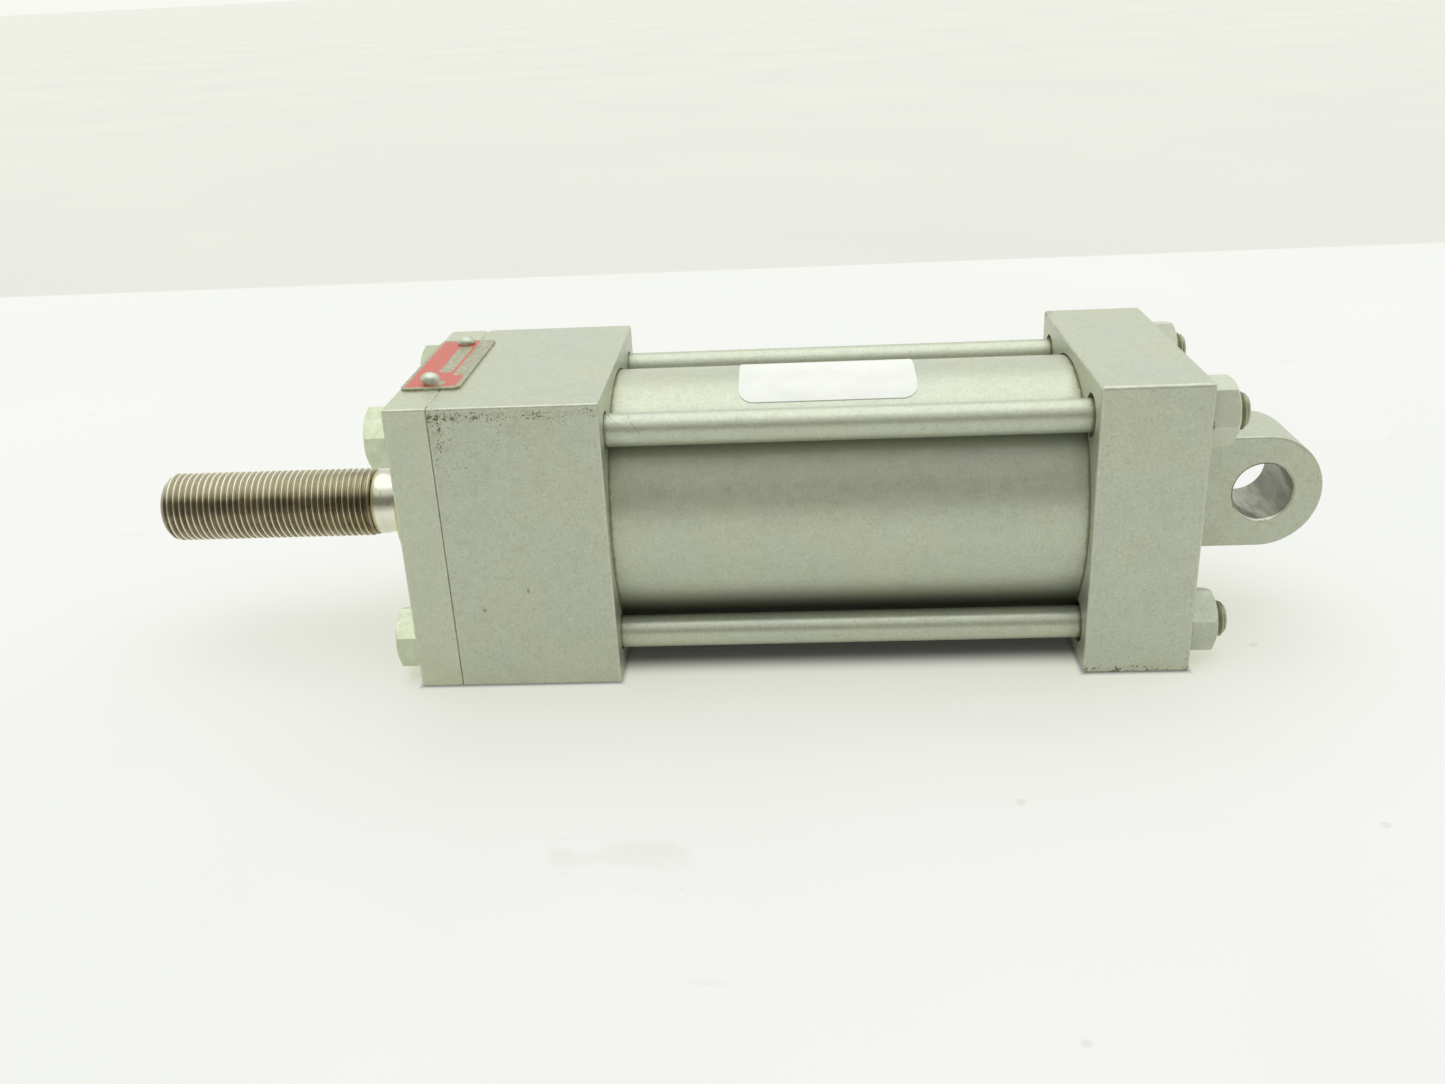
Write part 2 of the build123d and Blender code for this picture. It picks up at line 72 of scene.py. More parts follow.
TUBE_SEAT = 1.5 * MM
X_HEAD_BACK = tube_low.x + TUBE_SEAT
X_CAP_FRONT = tube_high.x - TUBE_SEAT
X_CAP_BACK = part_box("tie_rod_nut_upper_near")[0].x
HALF_BLOCK = head_high.z
ROD_RADIUS = rod_high.z

# Thread end of the rod, each x measured from the front face of the retainer plate.
THREAD_PITCH = 25.4 / 18 * MM
THREAD_DEPTH = 0.82 * MM
TIP_CHAMFER = 1.5 * MM
X_THREAD_END = plate_low.x - 13.8 * MM
X_RUNOUT_END = plate_low.x - 11.6 * MM
X_RELIEF_END = plate_low.x - 8.3 * MM
RUNOUT_RADIUS = 7.45 * MM
RUNOUT_TAPER = 0.30
RELIEF_RADIUS = 7.20 * MM
FLARE_LENGTH = 1.5 * MM
FLARE_STEPS = 12
X_PISTON_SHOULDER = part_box("piston")[0].x
STUD_RADIUS = 5.5 * MM
STUD_CHAMFER = 0.8 * MM
# Turned pieces that meet inside the metal end at this radius.
CORE_RADIUS = 0.5 * MM

# Nameplate screws.
DRIVE_HEAD_HEIGHT = 1.75 * MM
DRIVE_SHANK_RADIUS = 1.0 * MM
DRIVE_UNDERSIDE_SHARE = 0.90
DRIVE_SQUEEZE = 0.04
DOME_STEPS = 10

# Tie rods.
TIE_BODY_RADIUS = 3.5 * MM
TIE_BODY_INSET = 1.5 * MM
TIE_BODY_STEP = 0.3 * MM
TIE_THREAD_RADIUS = 3.95 * MM
TIE_THREAD_PITCH = 25.4 / 24 * MM
TIE_THREAD_DEPTH = 0.55 * MM
TIE_TIP_CHAMFER = 1.0 * MM
TIE_INNER_CHAMFER = 0.8 * MM
TIE_OFFSET = 0.92 * INCH

# Bead of paint in the seam on top of the head.
BEAD_HALF_WIDTH = 0.34 * MM
BEAD_DEPTH = 0.40 * MM
BEAD_REACH = 30.0 * MM
BEAD_STEPS = 120
BEAD_BELOW_TOP = 0.085 * MM

# Steps round a large and a small turned piece, and clean-up distances for new meshes.
ROUND_STEPS = 96
SMALL_STEPS = 48
WELD_DISTANCE = 2e-6
SLIVER_LENGTH = 1e-6

# Scratches on the upper near tie rod: distance from the head, and lean along the rod per unit height.
SCRATCHES = ((6.4 * MM, -1.6), (7.6 * MM, -0.8))
# Dents in the head's near face: distance behind the plate, height, half length, half width.
HEAD_DENTS = (
    (6.9 * MM, -13.4 * MM, 0.50 * MM, 0.50 * MM),
    (16.8 * MM, -9.0 * MM, 0.75 * MM, 0.38 * MM),
)
# Red print of the nameplate: distances behind the plate's front face, then along it, in millimetres.
BADGE_PRINT = (
    ((1.3, 6.0), (-17.6, 19.6)),
    ((1.3, 12.2), (-17.6, -9.1)),
    ((9.05, 9.75), (-9.4, 19.6)),
    ((5.8, 9.2), (-9.4, -6.6)),
    ((5.8, 9.2), (14.7, 19.6)),
)
BADGE_WINDOW = ((7.9, 9.2), (-17.0, -13.6))

# Floor and light.
FLOOR_HALF = 30.0
FLOOR_CHANGE = 0.40
FLOOR_CHANGE_SOFT = 0.002
FLOOR_PAINT = 0.36
FLOOR_PAINT_BLUE = 1.30
FLOOR_GLOW = 0.50
SOFTBOX_TILT = 11
SOFTBOX_SPREAD = 70
SOFTBOX_STRENGTH = 0.84
SOFTBOX_COLOUR = (0.97, 1.0, 1.02)
SKY_STOPS = (
    (0.00, (0.94, 0.95, 0.89)),
    (0.20, (0.96, 0.97, 0.91)),
    (0.50, (0.95, 0.96, 0.91)),
    (0.80, (1.00, 1.01, 0.98)),
    (1.00, (1.10, 1.12, 1.10)),
)
# The dimmer part of the room: its colour, how high it stands and how far round it reaches.
ROOM_DIM = (0.275, 0.270, 0.222, 1.0)
ROOM_DIM_STOPS = ((0.00, (0, 0, 0)), (0.08, (1, 1, 1)), (0.52, (1, 1, 1)), (0.70, (0, 0, 0)))
ROOM_DIM_SIDE = (-0.45, 0.0)

# Camera.
CAMERA_SENSOR = 36.0
CAMERA_LENS = 33.05
CAMERA_CLIP = (0.01, 50.0)
CAMERA_PLACE = (-0.10094, -0.28377, 0.10940)
CAMERA_TURN = (66.752, 2.692, 2.467)

# === Colours ======================================================================

PAINT_WARM = (0.545, 0.568, 0.435)
PAINT_COOL = (0.525, 0.560, 0.462)
PAINT_LIGHT = (0.660, 0.690, 0.570)
PAINT_DARK = (0.400, 0.425, 0.325)
PAINT_FLAKE = (0.82, 0.84, 0.74)
# Lighter rim tone along the blocks' edges: edge wear with a painted highlight.
PAINT_RIM_WEAR_AND_HIGHLIGHT = (0.66, 0.68, 0.60)
PAINT_METAL = 0.62
# Painted shade on the tube: in the lee of the upper tie rods, and towards its underside.
ROD_LEE_SHADE = (0.190, 0.200, 0.145)
UNDERSIDE_SHADE = (0.160, 0.168, 0.128)
PLATE_TINT = (0.74, 0.76, 0.50)
# Painted light on the upper nuts.
UPPER_NUT_PAINTED_LIGHT = (0.74, 0.77, 0.64)
CHIP = (0.105, 0.100, 0.032)
# Dirt; also used as painted shade at the eye's root and where the tie rods enter the blocks.
DIRT_AND_SHADE = (0.235, 0.240, 0.110)
# Painted contact shadow where fasteners meet their seats.
SEAT_SHADOW = (0.035, 0.036, 0.022)
RUST = (0.30, 0.17, 0.06)

BORE_STEEL = ((0.27, 0.275, 0.21), (0.50, 0.505, 0.41))
BORE_SHADE = (0.11, 0.11, 0.08)
# Painted highlight on the bore's chamfered rim.
BORE_RIM_HIGHLIGHT = (0.80, 0.81, 0.72)
ZINC = ((0.52, 0.57, 0.40), (0.64, 0.69, 0.515))
ZINC_FLECK = (0.36, 0.40, 0.25)
# Painted shade on the far-side cap screws.
ZINC_FAR_SHADE = (0.28, 0.30, 0.20)
THREAD_CREST = ((0.70, 0.695, 0.59), (0.80, 0.795, 0.69))
THREAD_OIL = ((0.175, 0.130, 0.065), (0.33, 0.265, 0.155))
# Painted highlight in the thread grooves' upper side.
THREAD_GROOVE_HIGHLIGHT = (0.44, 0.405, 0.285)
# Painted highlight on the thread crests outside the dark band; THREAD_SHADE is the painted dark
# reflection inside it.
THREAD_CREST_HIGHLIGHT = (0.94, 0.93, 0.80)
THREAD_SHADE = (0.15, 0.13, 0.09)
# Dull neck tone, also painted shade towards its top.
NECK_DULL_AND_SHADE = (0.36, 0.355, 0.27)
NECK_STAIN = (0.50, 0.47, 0.16)
CHROME = ((0.70, 0.70, 0.68), (0.80, 0.80, 0.78))
GLAND = ((0.44, 0.46, 0.17), (0.66, 0.68, 0.33))
IRON = ((0.19, 0.19, 0.18), (0.32, 0.32, 0.31))
SCREW = ((0.47, 0.50, 0.39), (0.66, 0.69, 0.58))
LABEL_WHITE, LABEL_SMUDGE = (0.86, 0.87, 0.84), (0.80, 0.81, 0.76)
BADGE_METAL = ((0.29, 0.295, 0.20), (0.45, 0.45, 0.33))
BADGE_BROWN = (0.30, 0.22, 0.11)
BADGE_GOLD = (0.66, 0.60, 0.33)
BADGE_RED = (0.60, 0.115, 0.082)
RUBBER, RUBBER_DUST = (0.018, 0.018, 0.018), (0.05, 0.05, 0.048)
URETHANE, URETHANE_DUST = (0.13, 0.12, 0.08), (0.22, 0.20, 0.14)
PTFE = ((0.74, 0.74, 0.72), (0.82, 0.82, 0.80))
BRONZE, BRONZE_FLECK = (0.20, 0.12, 0.06), (0.34, 0.22, 0.12)
FLOOR = ((0.96, 0.965, 0.93), (1.0, 1.0, 0.97))
FLOOR_SCUFF = (0.66, 0.64, 0.52)
FLOOR_DUST = (0.55, 0.53, 0.42)
FLOOR_FAR = (0.865, 0.855, 0.795)
FLOOR_WARM = (1.0, 1.01, 0.78)
BLACK = (0, 0, 0)


# === Node helpers =================================================================


class Shader:
    """One material's node tree, with short ways to add the nodes used here."""

    def __init__(self, name):
        self.material = bpy.data.materials.new(name)
        self.material.use_nodes = True
        self.nodes = self.material.node_tree.nodes
        self.links = self.material.node_tree.links
        self.surface = self.nodes["Principled BSDF"]
        self.place = self.nodes.new("ShaderNodeTexCoord").outputs["Object"]

    def put(self, value, socket):
        """Links value to socket if it is an output, or sets it there if it is a number."""
        if isinstance(value, bpy.types.NodeSocket):
            self.links.new(value, socket)
        else:
            socket.default_value = value

    def mapped(self, scale=(1, 1, 1), turn=(0, 0, 0)):
        """Object coordinates, turned by degrees and scaled."""
        node = self.nodes.new("ShaderNodeMapping")
        self.links.new(self.place, node.inputs["Vector"])
        node.inputs["Rotation"].default_value = [math.radians(angle) for angle in turn]
        node.inputs["Scale"].default_value = scale
        return node.outputs["Vector"]

    def noise(self, size, detail=2.0, rough=0.5, where=None, warp=0.0):
        """Noise whose largest features are about size metres across, from 0 to 1."""
        node = self.nodes.new("ShaderNodeTexNoise")
        self.links.new(where or self.place, node.inputs["Vector"])
        node.inputs["Scale"].default_value = 1 / size
        node.inputs["Detail"].default_value = detail
        node.inputs["Roughness"].default_value = rough
        node.inputs["Distortion"].default_value = warp
        return node.outputs["Fac"]

    def cells(self, size, output="Distance"):
        """Cell pattern with cells about size metres across."""
        node = self.nodes.new("ShaderNodeTexVoronoi")
        self.links.new(self.place, node.inputs["Vector"])
        node.inputs["Scale"].default_value = 1 / size
        return node.outputs[output]

    def math(self, operation, *values):
        """One Math node."""
        node = self.nodes.new("ShaderNodeMath")
        node.operation = operation
        for value, socket in zip((*values, 0.0, 0.0), node.inputs):
            self.put(value, socket)
        return node.outputs[0]

    def plus(self, a, b):
        return self.math("ADD", a, b)

    def minus(self, a, b):
        return self.math("SUBTRACT", a, b)

    def times(self, *values):
        """Product of two or more values."""
        product = values[0]
        for value in values[1:]:
            product = self.math("MULTIPLY", product, value)
        return product

    def most(self, *values):
        """Largest of two or more values."""
        largest = values[0]
        for value in values[1:]:
            largest = self.math("MAXIMUM", largest, value)
        return largest

    def least(self, a, b):
        return self.math("MINIMUM", a, b)

    def size_of(self, value):
        return self.math("ABSOLUTE", value)

    def length(self, a, b):
        """Length of the sides a and b's diagonal."""
        return self.math("SQRT", self.plus(self.times(a, a), self.times(b, b)))

    def axes(self):
        """Object x, y and z."""
        node = self.nodes.new("ShaderNodeSeparateXYZ")
        self.links.new(self.place, node.inputs[0])
        return node.outputs[0], node.outputs[1], node.outputs[2]

    def ramp(self, value, low, high, out_low=0.0, out_high=1.0):
        """Value from low..high to out_low..out_high, smoothed and held at both ends."""
        node = self.nodes.new("ShaderNodeMapRange")
        node.interpolation_type = "SMOOTHSTEP"
        self.links.new(value, node.inputs["Value"])
        for socket, number in zip(node.inputs[1:5], (low, high, out_low, out_high)):
            socket.default_value = number
        return node.outputs[0]

    def band(self, value, low, high, soft):
        """1 between low and high, falling to 0 over soft on each side."""
        rise = self.ramp(value, low - soft / 2, low + soft / 2)
        fall = self.ramp(value, high - soft / 2, high + soft / 2, 1.0, 0.0)
        return self.times(rise, fall)

    def ragged(self, distance, reach, noise, low=0.3, high=0.7):
        """A distance pushed in and out by up to reach, where the noise runs from low to high."""
        return self.plus(distance, self.ramp(noise, low, high, -reach, reach))

    def mix(self, factor, a, b, blend="MIX"):
        """Colour mix."""
        node = self.nodes.new("ShaderNodeMix")
        node.data_type = "RGBA"
        node.blend_type = blend
        self.put(factor, node.inputs[0])
        for value, socket in ((a, node.inputs[6]), (b, node.inputs[7])):
            self.put(value if isinstance(value, bpy.types.NodeSocket) else (*value, 1.0), socket)
        return node.outputs[2]

    def blend(self, value, pair, low=0.3, high=0.7):
        """The first colour of a pair where value is low, the second where it is high."""
        return self.mix(self.ramp(value, low, high), *pair)

    def tint(self, tone, colour):
        return self.mix(1.0, tone, colour, "MULTIPLY")

    def bump(self, height, distance, strength=1.0, under=None):
        """Bump of height 0..1 over distance metres, laid over another bump."""
        node = self.nodes.new("ShaderNodeBump")
        node.inputs["Strength"].default_value = strength
        node.inputs["Distance"].default_value = distance
        self.links.new(height, node.inputs["Height"])
        if under is not None:
            self.links.new(under, node.inputs["Normal"])
        return node.outputs["Normal"]

    def finish(self, colour, roughness, normal=None, **fixed):
        """Fills the surface shader: colour, roughness and normal are nodes, the rest plain numbers."""
        self.put(colour, self.surface.inputs["Base Color"])
        self.put(roughness, self.surface.inputs["Roughness"])
        if normal is not None:
            self.links.new(normal, self.surface.inputs["Normal"])
        for name, value in fixed.items():
            self.surface.inputs[name.replace("_", " ")].default_value = value
        return self.material


# === Painted pieces ===============================================================


def paint_base(s, rough_low=0.36, rough_high=0.46):
    """Sprayed aluminium paint: colour, roughness and orange peel shared by every painted piece."""
    cloud = s.noise(24 * MM, 3, 0.55)
    mottle = s.noise(2.2 * MM, 3, 0.6)
    fleck = s.noise(0.62 * MM, 3, 0.8)
    flake = s.cells(0.36 * MM, "Color")
    tone = s.blend(cloud, (PAINT_COOL, PAINT_WARM))
    tone = s.mix(s.ramp(mottle, 0.40, 0.70, 0.0, 0.22), tone, PAINT_DARK)
    tone = s.mix(s.ramp(fleck, 0.48, 0.30, 0.0, 0.80), tone, PAINT_DARK)
    tone = s.mix(s.ramp(fleck, 0.55, 0.72, 0.0, 0.50), tone, PAINT_LIGHT)
    tone = s.mix(s.ramp(flake, 0.80, 0.96, 0.0, 0.20), tone, PAINT_FLAKE)
    rough = s.ramp(s.noise(3 * MM, 4, 0.6), 0.25, 0.75, rough_low, rough_high)
    normal = s.bump(s.noise(1.3 * MM), 0.020 * MM, 0.40)
    normal = s.bump(s.noise(0.34 * MM, 2, 0.6), 0.012 * MM, 0.60, normal)
    return tone, rough, normal


def finish_paint(s, tone, rough, normal):
    return s.finish(tone, rough, normal, Metallic=PAINT_METAL, Specular_IOR_Level=0.4)


def edge_distance(s, low, high):
    """Distance to the nearest edge of a box, in metres, for a point on its faces."""
    a, b, c = [
        s.least(s.size_of(s.minus(value, start)), s.size_of(s.minus(end, value)))
        for value, start, end in zip(s.axes(), low, high)
    ]
    return s.most(s.least(a, b), s.least(s.most(a, b), c))


def block_paint(name, low, high, chips):
    """Painted block: thin bright rims of edge wear and painted highlight, dirt and chipped specks
    where chips() puts them.
    """
    s = Shader(name)
    tone, rough, normal = paint_base(s)
    edge = edge_distance(s, low, high)
    # Lighter rims along every edge: ragged edge wear with a painted highlight.
    worn = s.ragged(edge, 0.45 * MM, s.noise(1.6 * MM, 4, 0.7), 0.2, 0.8)
    tone = s.mix(s.ramp(worn, 0.05 * MM, 0.55 * MM, 0.55, 0.0), tone, PAINT_RIM_WEAR_AND_HIGHLIGHT)
    tone, rough = chips(s, tone, rough, edge)
    return finish_paint(s, tone, rough, normal)


def speckle(s, amount, size=0.50 * MM):
    """Scattered dark flecks whose number grows with amount, from 0 to 1."""
    fleck = s.noise(size, 2.5, 0.7)
    patch = s.noise(4.5 * MM, 3, 0.6)
    level = s.minus(0.80, s.times(amount, 0.30))
    level = s.minus(level, s.ramp(patch, 0.35, 0.70, -0.04, 0.06))
    spots = s.ramp(s.minus(fleck, level), 0.0, 0.05)
    return s.times(spots, s.ramp(amount, 0.02, 0.12))


def chip_away(s, tone, rough, specks, strength):
    """Rust-dark, rougher metal where the paint is off."""
    tone = s.mix(s.times(specks, strength), tone, CHIP)
    return tone, s.plus(rough, s.times(specks, 0.25))


def head_chips(s, tone, rough, _edge):
    """Dark specks fanning out under the near top edge and down beside the plate, and two dents."""
    x, y, z = s.axes()
    near = s.ramp(y, head_low.y + 0.6 * MM, head_low.y + 0.05 * MM)
    from_top = s.minus(HALF_BLOCK, z)
    from_front = s.minus(x, head_low.x)
    along = s.ramp(from_front, 35 * MM, 6 * MM, 0.66, 0.84)
    top_band = s.times(s.band(from_top, 0.5 * MM, 3.4 * MM, 2.0 * MM), along)
    down = s.ramp(from_top, 24 * MM, 1 * MM, 0.0, 0.9)
    side_band = s.times(s.band(from_front, 1.0 * MM, 3.2 * MM, 2.4 * MM), down)
    fan = s.plus(from_top, s.times(from_front, 0.55))
    wide = s.ramp(fan, 36 * MM, 1 * MM, 0.16, 0.60)
    amount = s.most(top_band, side_band, wide)
    veil = s.times(amount, near, s.ramp(s.noise(2.4 * MM, 4, 0.7), 0.35, 0.7))
    tone = s.mix(s.times(veil, 0.22), tone, DIRT_AND_SHADE)
    specks = s.times(speckle(s, amount, 0.40 * MM), near)
    tone, rough = chip_away(s, tone, rough, specks, 0.90)
    for x_dent, z_dent, half_length, half_width in HEAD_DENTS:
        across = s.times(s.minus(from_front, x_dent), 1 / half_width)
        along = s.times(s.minus(z, z_dent), 1 / half_length)
        spot = s.times(s.ramp(s.length(across, along), 1.0, 0.5), near)
        tone = s.mix(s.times(spot, 0.75), tone, DIRT_AND_SHADE)
    return tone, rough


def cap_chip_amount(s, edge):
    """How chipped the cap is: bottom near edge, back edge, one top corner, a little at every edge."""
    x, y, z = s.axes()
    near = s.ramp(y, cap_low.y + 3.0 * MM, cap_low.y + 0.1 * MM)
    from_floor = s.minus(z, cap_low.z)
    from_front = s.minus(x, X_CAP_FRONT)
    from_back = s.minus(X_CAP_BACK, x)
    patchy = s.ramp(s.noise(6 * MM), 0.35, 0.60, 0.60, 1.10)
    front_share = s.ramp(from_front, 6 * MM, 20 * MM, 1.15, 0.70)
    bottom = s.times(s.ramp(from_floor, 3.4 * MM, 0.9 * MM), near, patchy, front_share)
    low_back = s.ramp(from_floor, 13 * MM, 3 * MM)
    back_edge = s.times(s.band(from_back, -0.2 * MM, 1.1 * MM, 0.8 * MM), low_back, near, 0.72)
    top = s.ramp(z, cap_high.z - 2.5 * MM, cap_high.z - 0.3 * MM)
    far = s.ramp(s.minus(cap_high.y, y), 9.0 * MM, 1.0 * MM)
    corner = s.times(s.ramp(from_front, 3.0 * MM, 0.2 * MM), far, top)
    return s.most(bottom, back_edge, corner, s.times(s.ramp(edge, 9 * MM, 1 * MM), 0.20))


def cap_chips(s, tone, rough, edge):
    """Chips on the cap, the eye's bare bore with painted shade inside and a painted highlight on its
    rim, and painted shade in the corner at the eye's root.
    """
    tone, rough = chip_away(s, tone, rough, speckle(s, cap_chip_amount(s, edge)), 0.88)
    x, y, z = s.axes()
    radius = s.length(x, z)
    bare = s.ramp(s.ragged(radius, 0.05 * MM, s.noise(1.0 * MM, 3, 0.6)), 6.80 * MM, 6.72 * MM)
    steel = s.blend(s.noise(1.6 * MM, 4, 0.6, s.mapped((1.0, 0.25, 1.0))), BORE_STEEL)
    steel = s.mix(s.ramp(x, 1.5 * MM, 5.5 * MM, 0.0, 0.6), steel, BORE_SHADE)
    # Painted highlight on the bore's chamfered rim.
    steel = s.mix(s.ramp(radius, 6.44 * MM, 6.54 * MM, 0.0, 0.85), steel, BORE_RIM_HIGHLIGHT)
    tone = s.mix(bare, tone, steel)
    rusty = s.ramp(s.noise(2.0 * MM, 4, 0.7), 0.60, 0.70)
    rust = s.times(s.band(radius, 6.3 * MM, 7.1 * MM, 0.3 * MM), rusty)
    tone = s.mix(s.times(rust, 0.7), tone, RUST)
    rough = s.minus(rough, s.times(bare, 0.16))
    # Painted shade in the corner at the eye's root.
    root = s.band(x, X_CAP_BACK - 0.3 * MM, X_CAP_BACK + 2.4 * MM, 1.6 * MM)
    root = s.times(root, s.band(y, -12.5 * MM, 12.5 * MM, 3 * MM))
    return s.mix(s.times(root, 0.35), tone, DIRT_AND_SHADE), rough


def plate_chips(s, tone, rough, edge):
    """A slightly yellower coat with a few faint specks near the edges of the retainer plate."""
    tone = s.mix(0.14, tone, PLATE_TINT)
    amount = s.times(s.ramp(edge, 5 * MM, 0.5 * MM), 0.38)
    return s.mix(s.times(speckle(s, amount), 0.6), tone, DIRT_AND_SHADE), rough


def head_paint():
    high = (X_HEAD_BACK, head_high.y, head_high.z)
    return block_paint("head_paint", head_low, high, head_chips)


def cap_paint():
    low, high = (X_CAP_FRONT, cap_low.y, cap_low.z), (X_CAP_BACK, cap_high.y, cap_high.z)
    return block_paint("cap_paint", low, high, cap_chips)


def plate_paint():
    return block_paint("plate_paint", plate_low, plate_high, plate_chips)


def from_blocks(s, x):
    """Distance along the axis to the nearer block, between head and cap."""
    return s.least(s.minus(x, X_HEAD_BACK), s.minus(X_CAP_FRONT, x))


def tube_paint():
    """Tube: fine lengthwise grain, painted shade in the lee of the upper tie rods and on the
    underside, dirt at both ends.
    """
    s = Shader("tube_paint")
    tone, rough, normal = paint_base(s, 0.31, 0.41)
    x, y, z = s.axes()
    grain = s.noise(1.0 * MM, 3, 0.6, s.mapped((0.16, 1, 1)))
    tone = s.mix(s.ramp(grain, 0.35, 0.65, 0.0, 0.10), tone, PAINT_DARK)
    slope = s.math("ARCTAN2", z, s.size_of(y))
    # Painted shade: a darker band in the lee of the upper tie rods.
    behind_upper = s.band(slope, math.radians(31), math.radians(56), math.radians(13))
    tone = s.mix(s.times(behind_upper, 0.62), tone, ROD_LEE_SHADE)
    # Painted shade: the tube darker towards its underside.
    tone = s.mix(s.ramp(slope, math.radians(-18), math.radians(-42)), tone, UNDERSIDE_SHADE)
    seam = s.ragged(from_blocks(s, x), 0.30 * MM, s.noise(1.5 * MM, 3, 0.7), 0.2, 0.8)
    tone = s.mix(s.ramp(seam, 0.1 * MM, 0.7 * MM, 0.75, 0.0), tone, DIRT_AND_SHADE)
    return finish_paint(s, tone, rough, normal)


def tie_rod_paint():
    """Tie rods: slightly shinier paint, two crossing scratches on one, rings of painted shade at both
    ends where they enter the head and cap.
    """
    s = Shader("tie_rod_paint")
    tone, rough, normal = paint_base(s, 0.31, 0.41)
    x, y, z = s.axes()
    one_rod = s.times(s.ramp(y, -18 * MM, -19 * MM), s.ramp(z, 23 * MM, 24 * MM))
    for start, lean in SCRATCHES:
        leaning = s.times(s.minus(z, TIE_OFFSET), lean)
        offset = s.minus(s.minus(x, X_HEAD_BACK + start), leaning)
        line = s.ramp(s.size_of(offset), 0.16 * MM, 0.05 * MM)
        line = s.times(line, one_rod, s.ramp(s.noise(0.8 * MM), 0.35, 0.5))
        tone = s.mix(s.times(line, 0.6), tone, DIRT_AND_SHADE)
    # Painted shade: dark rings where the rods enter the head and cap.
    ring = s.ragged(from_blocks(s, x), 0.15 * MM, s.noise(1.2 * MM, 3, 0.6))
    tone = s.mix(s.ramp(ring, 0.75 * MM, 0.15 * MM, 0.0, 0.6), tone, DIRT_AND_SHADE)
    return finish_paint(s, tone, rough, normal)


def bead_paint():
    """Paint that bridges the seam on top of the head, a little dirty."""
    s = Shader("bead_paint")
    tone, rough, normal = paint_base(s)
    tone = s.mix(s.ramp(s.noise(2.5 * MM, 4, 0.7), 0.50, 0.65, 0.10, 0.60), tone, DIRT_AND_SHADE)
    return finish_paint(s, tone, rough, normal)


def seat_shadow(s, tone, x, x_seat, side):
    """Painted contact shadow: a dark ragged line round a fastener where it meets its seat."""
    gap = s.times(s.minus(x, x_seat), side)
    gap = s.ragged(gap, 0.12 * MM, s.noise(1.2 * MM, 3, 0.6))
    return s.mix(s.ramp(gap, 0.20 * MM, 0.48 * MM, 0.88, 0.0), tone, SEAT_SHADOW)


def nut_paint():
    """Nuts on the cap: a patchy coat of the same paint, painted lighter on the upper nuts, with a
    painted shadow where they meet the cap.
    """
    s = Shader("nut_paint")
    tone, rough, normal = paint_base(s, 0.38, 0.50)
    x, _, z = s.axes()
    patch = s.noise(2.6 * MM, 4, 0.65)
    tone = s.mix(s.ramp(patch, 0.55, 0.75, 0.0, 0.45), tone, PAINT_DARK)
    tone = s.mix(s.ramp(patch, 0.45, 0.25, 0.0, 0.70), tone, PAINT_LIGHT)
    # Painted light: the upper nuts a little lighter than the lower ones.
    tone = s.mix(s.ramp(z, -5 * MM, 5 * MM, 0.0, 0.30), tone, UPPER_NUT_PAINTED_LIGHT)
    # Painted contact shadow where the nuts meet the cap.
    tone = seat_shadow(s, tone, x, X_CAP_BACK, 1)
    return s.finish(tone, rough, normal, Metallic=0.34, Specular_IOR_Level=0.45)


# === Bare metal, plating, print and rubber ========================================


def zinc_plate():
    """Pale yellow-green zinc plating on the cap screws, with wrench marks, painted shade on the far
    screws and a painted shadow at the seat.
    """
    s = Shader("zinc_plate")
    x, y, _ = s.axes()
    fleck = s.noise(0.7 * MM, 4, 0.7)
    tone = s.blend(s.noise(4 * MM, 4, 0.6), ZINC)
    tone = s.mix(s.ramp(fleck, 0.55, 0.75, 0.0, 0.45), tone, ZINC_FLECK)
    # Painted shade: the far screws darker.
    tone = s.mix(s.ramp(y, 0, 10 * MM, 0.0, 0.72), tone, ZINC_FAR_SHADE)
    # Painted contact shadow where the screws meet the plate.
    tone = seat_shadow(s, tone, x, plate_low.x, -1)
    normal = s.bump(s.noise(0.9 * MM, 3, 0.6), 0.02 * MM, 0.5)
    return s.finish(tone, s.ramp(fleck, 0.3, 0.7, 0.28, 0.44), normal, Metallic=0.72)


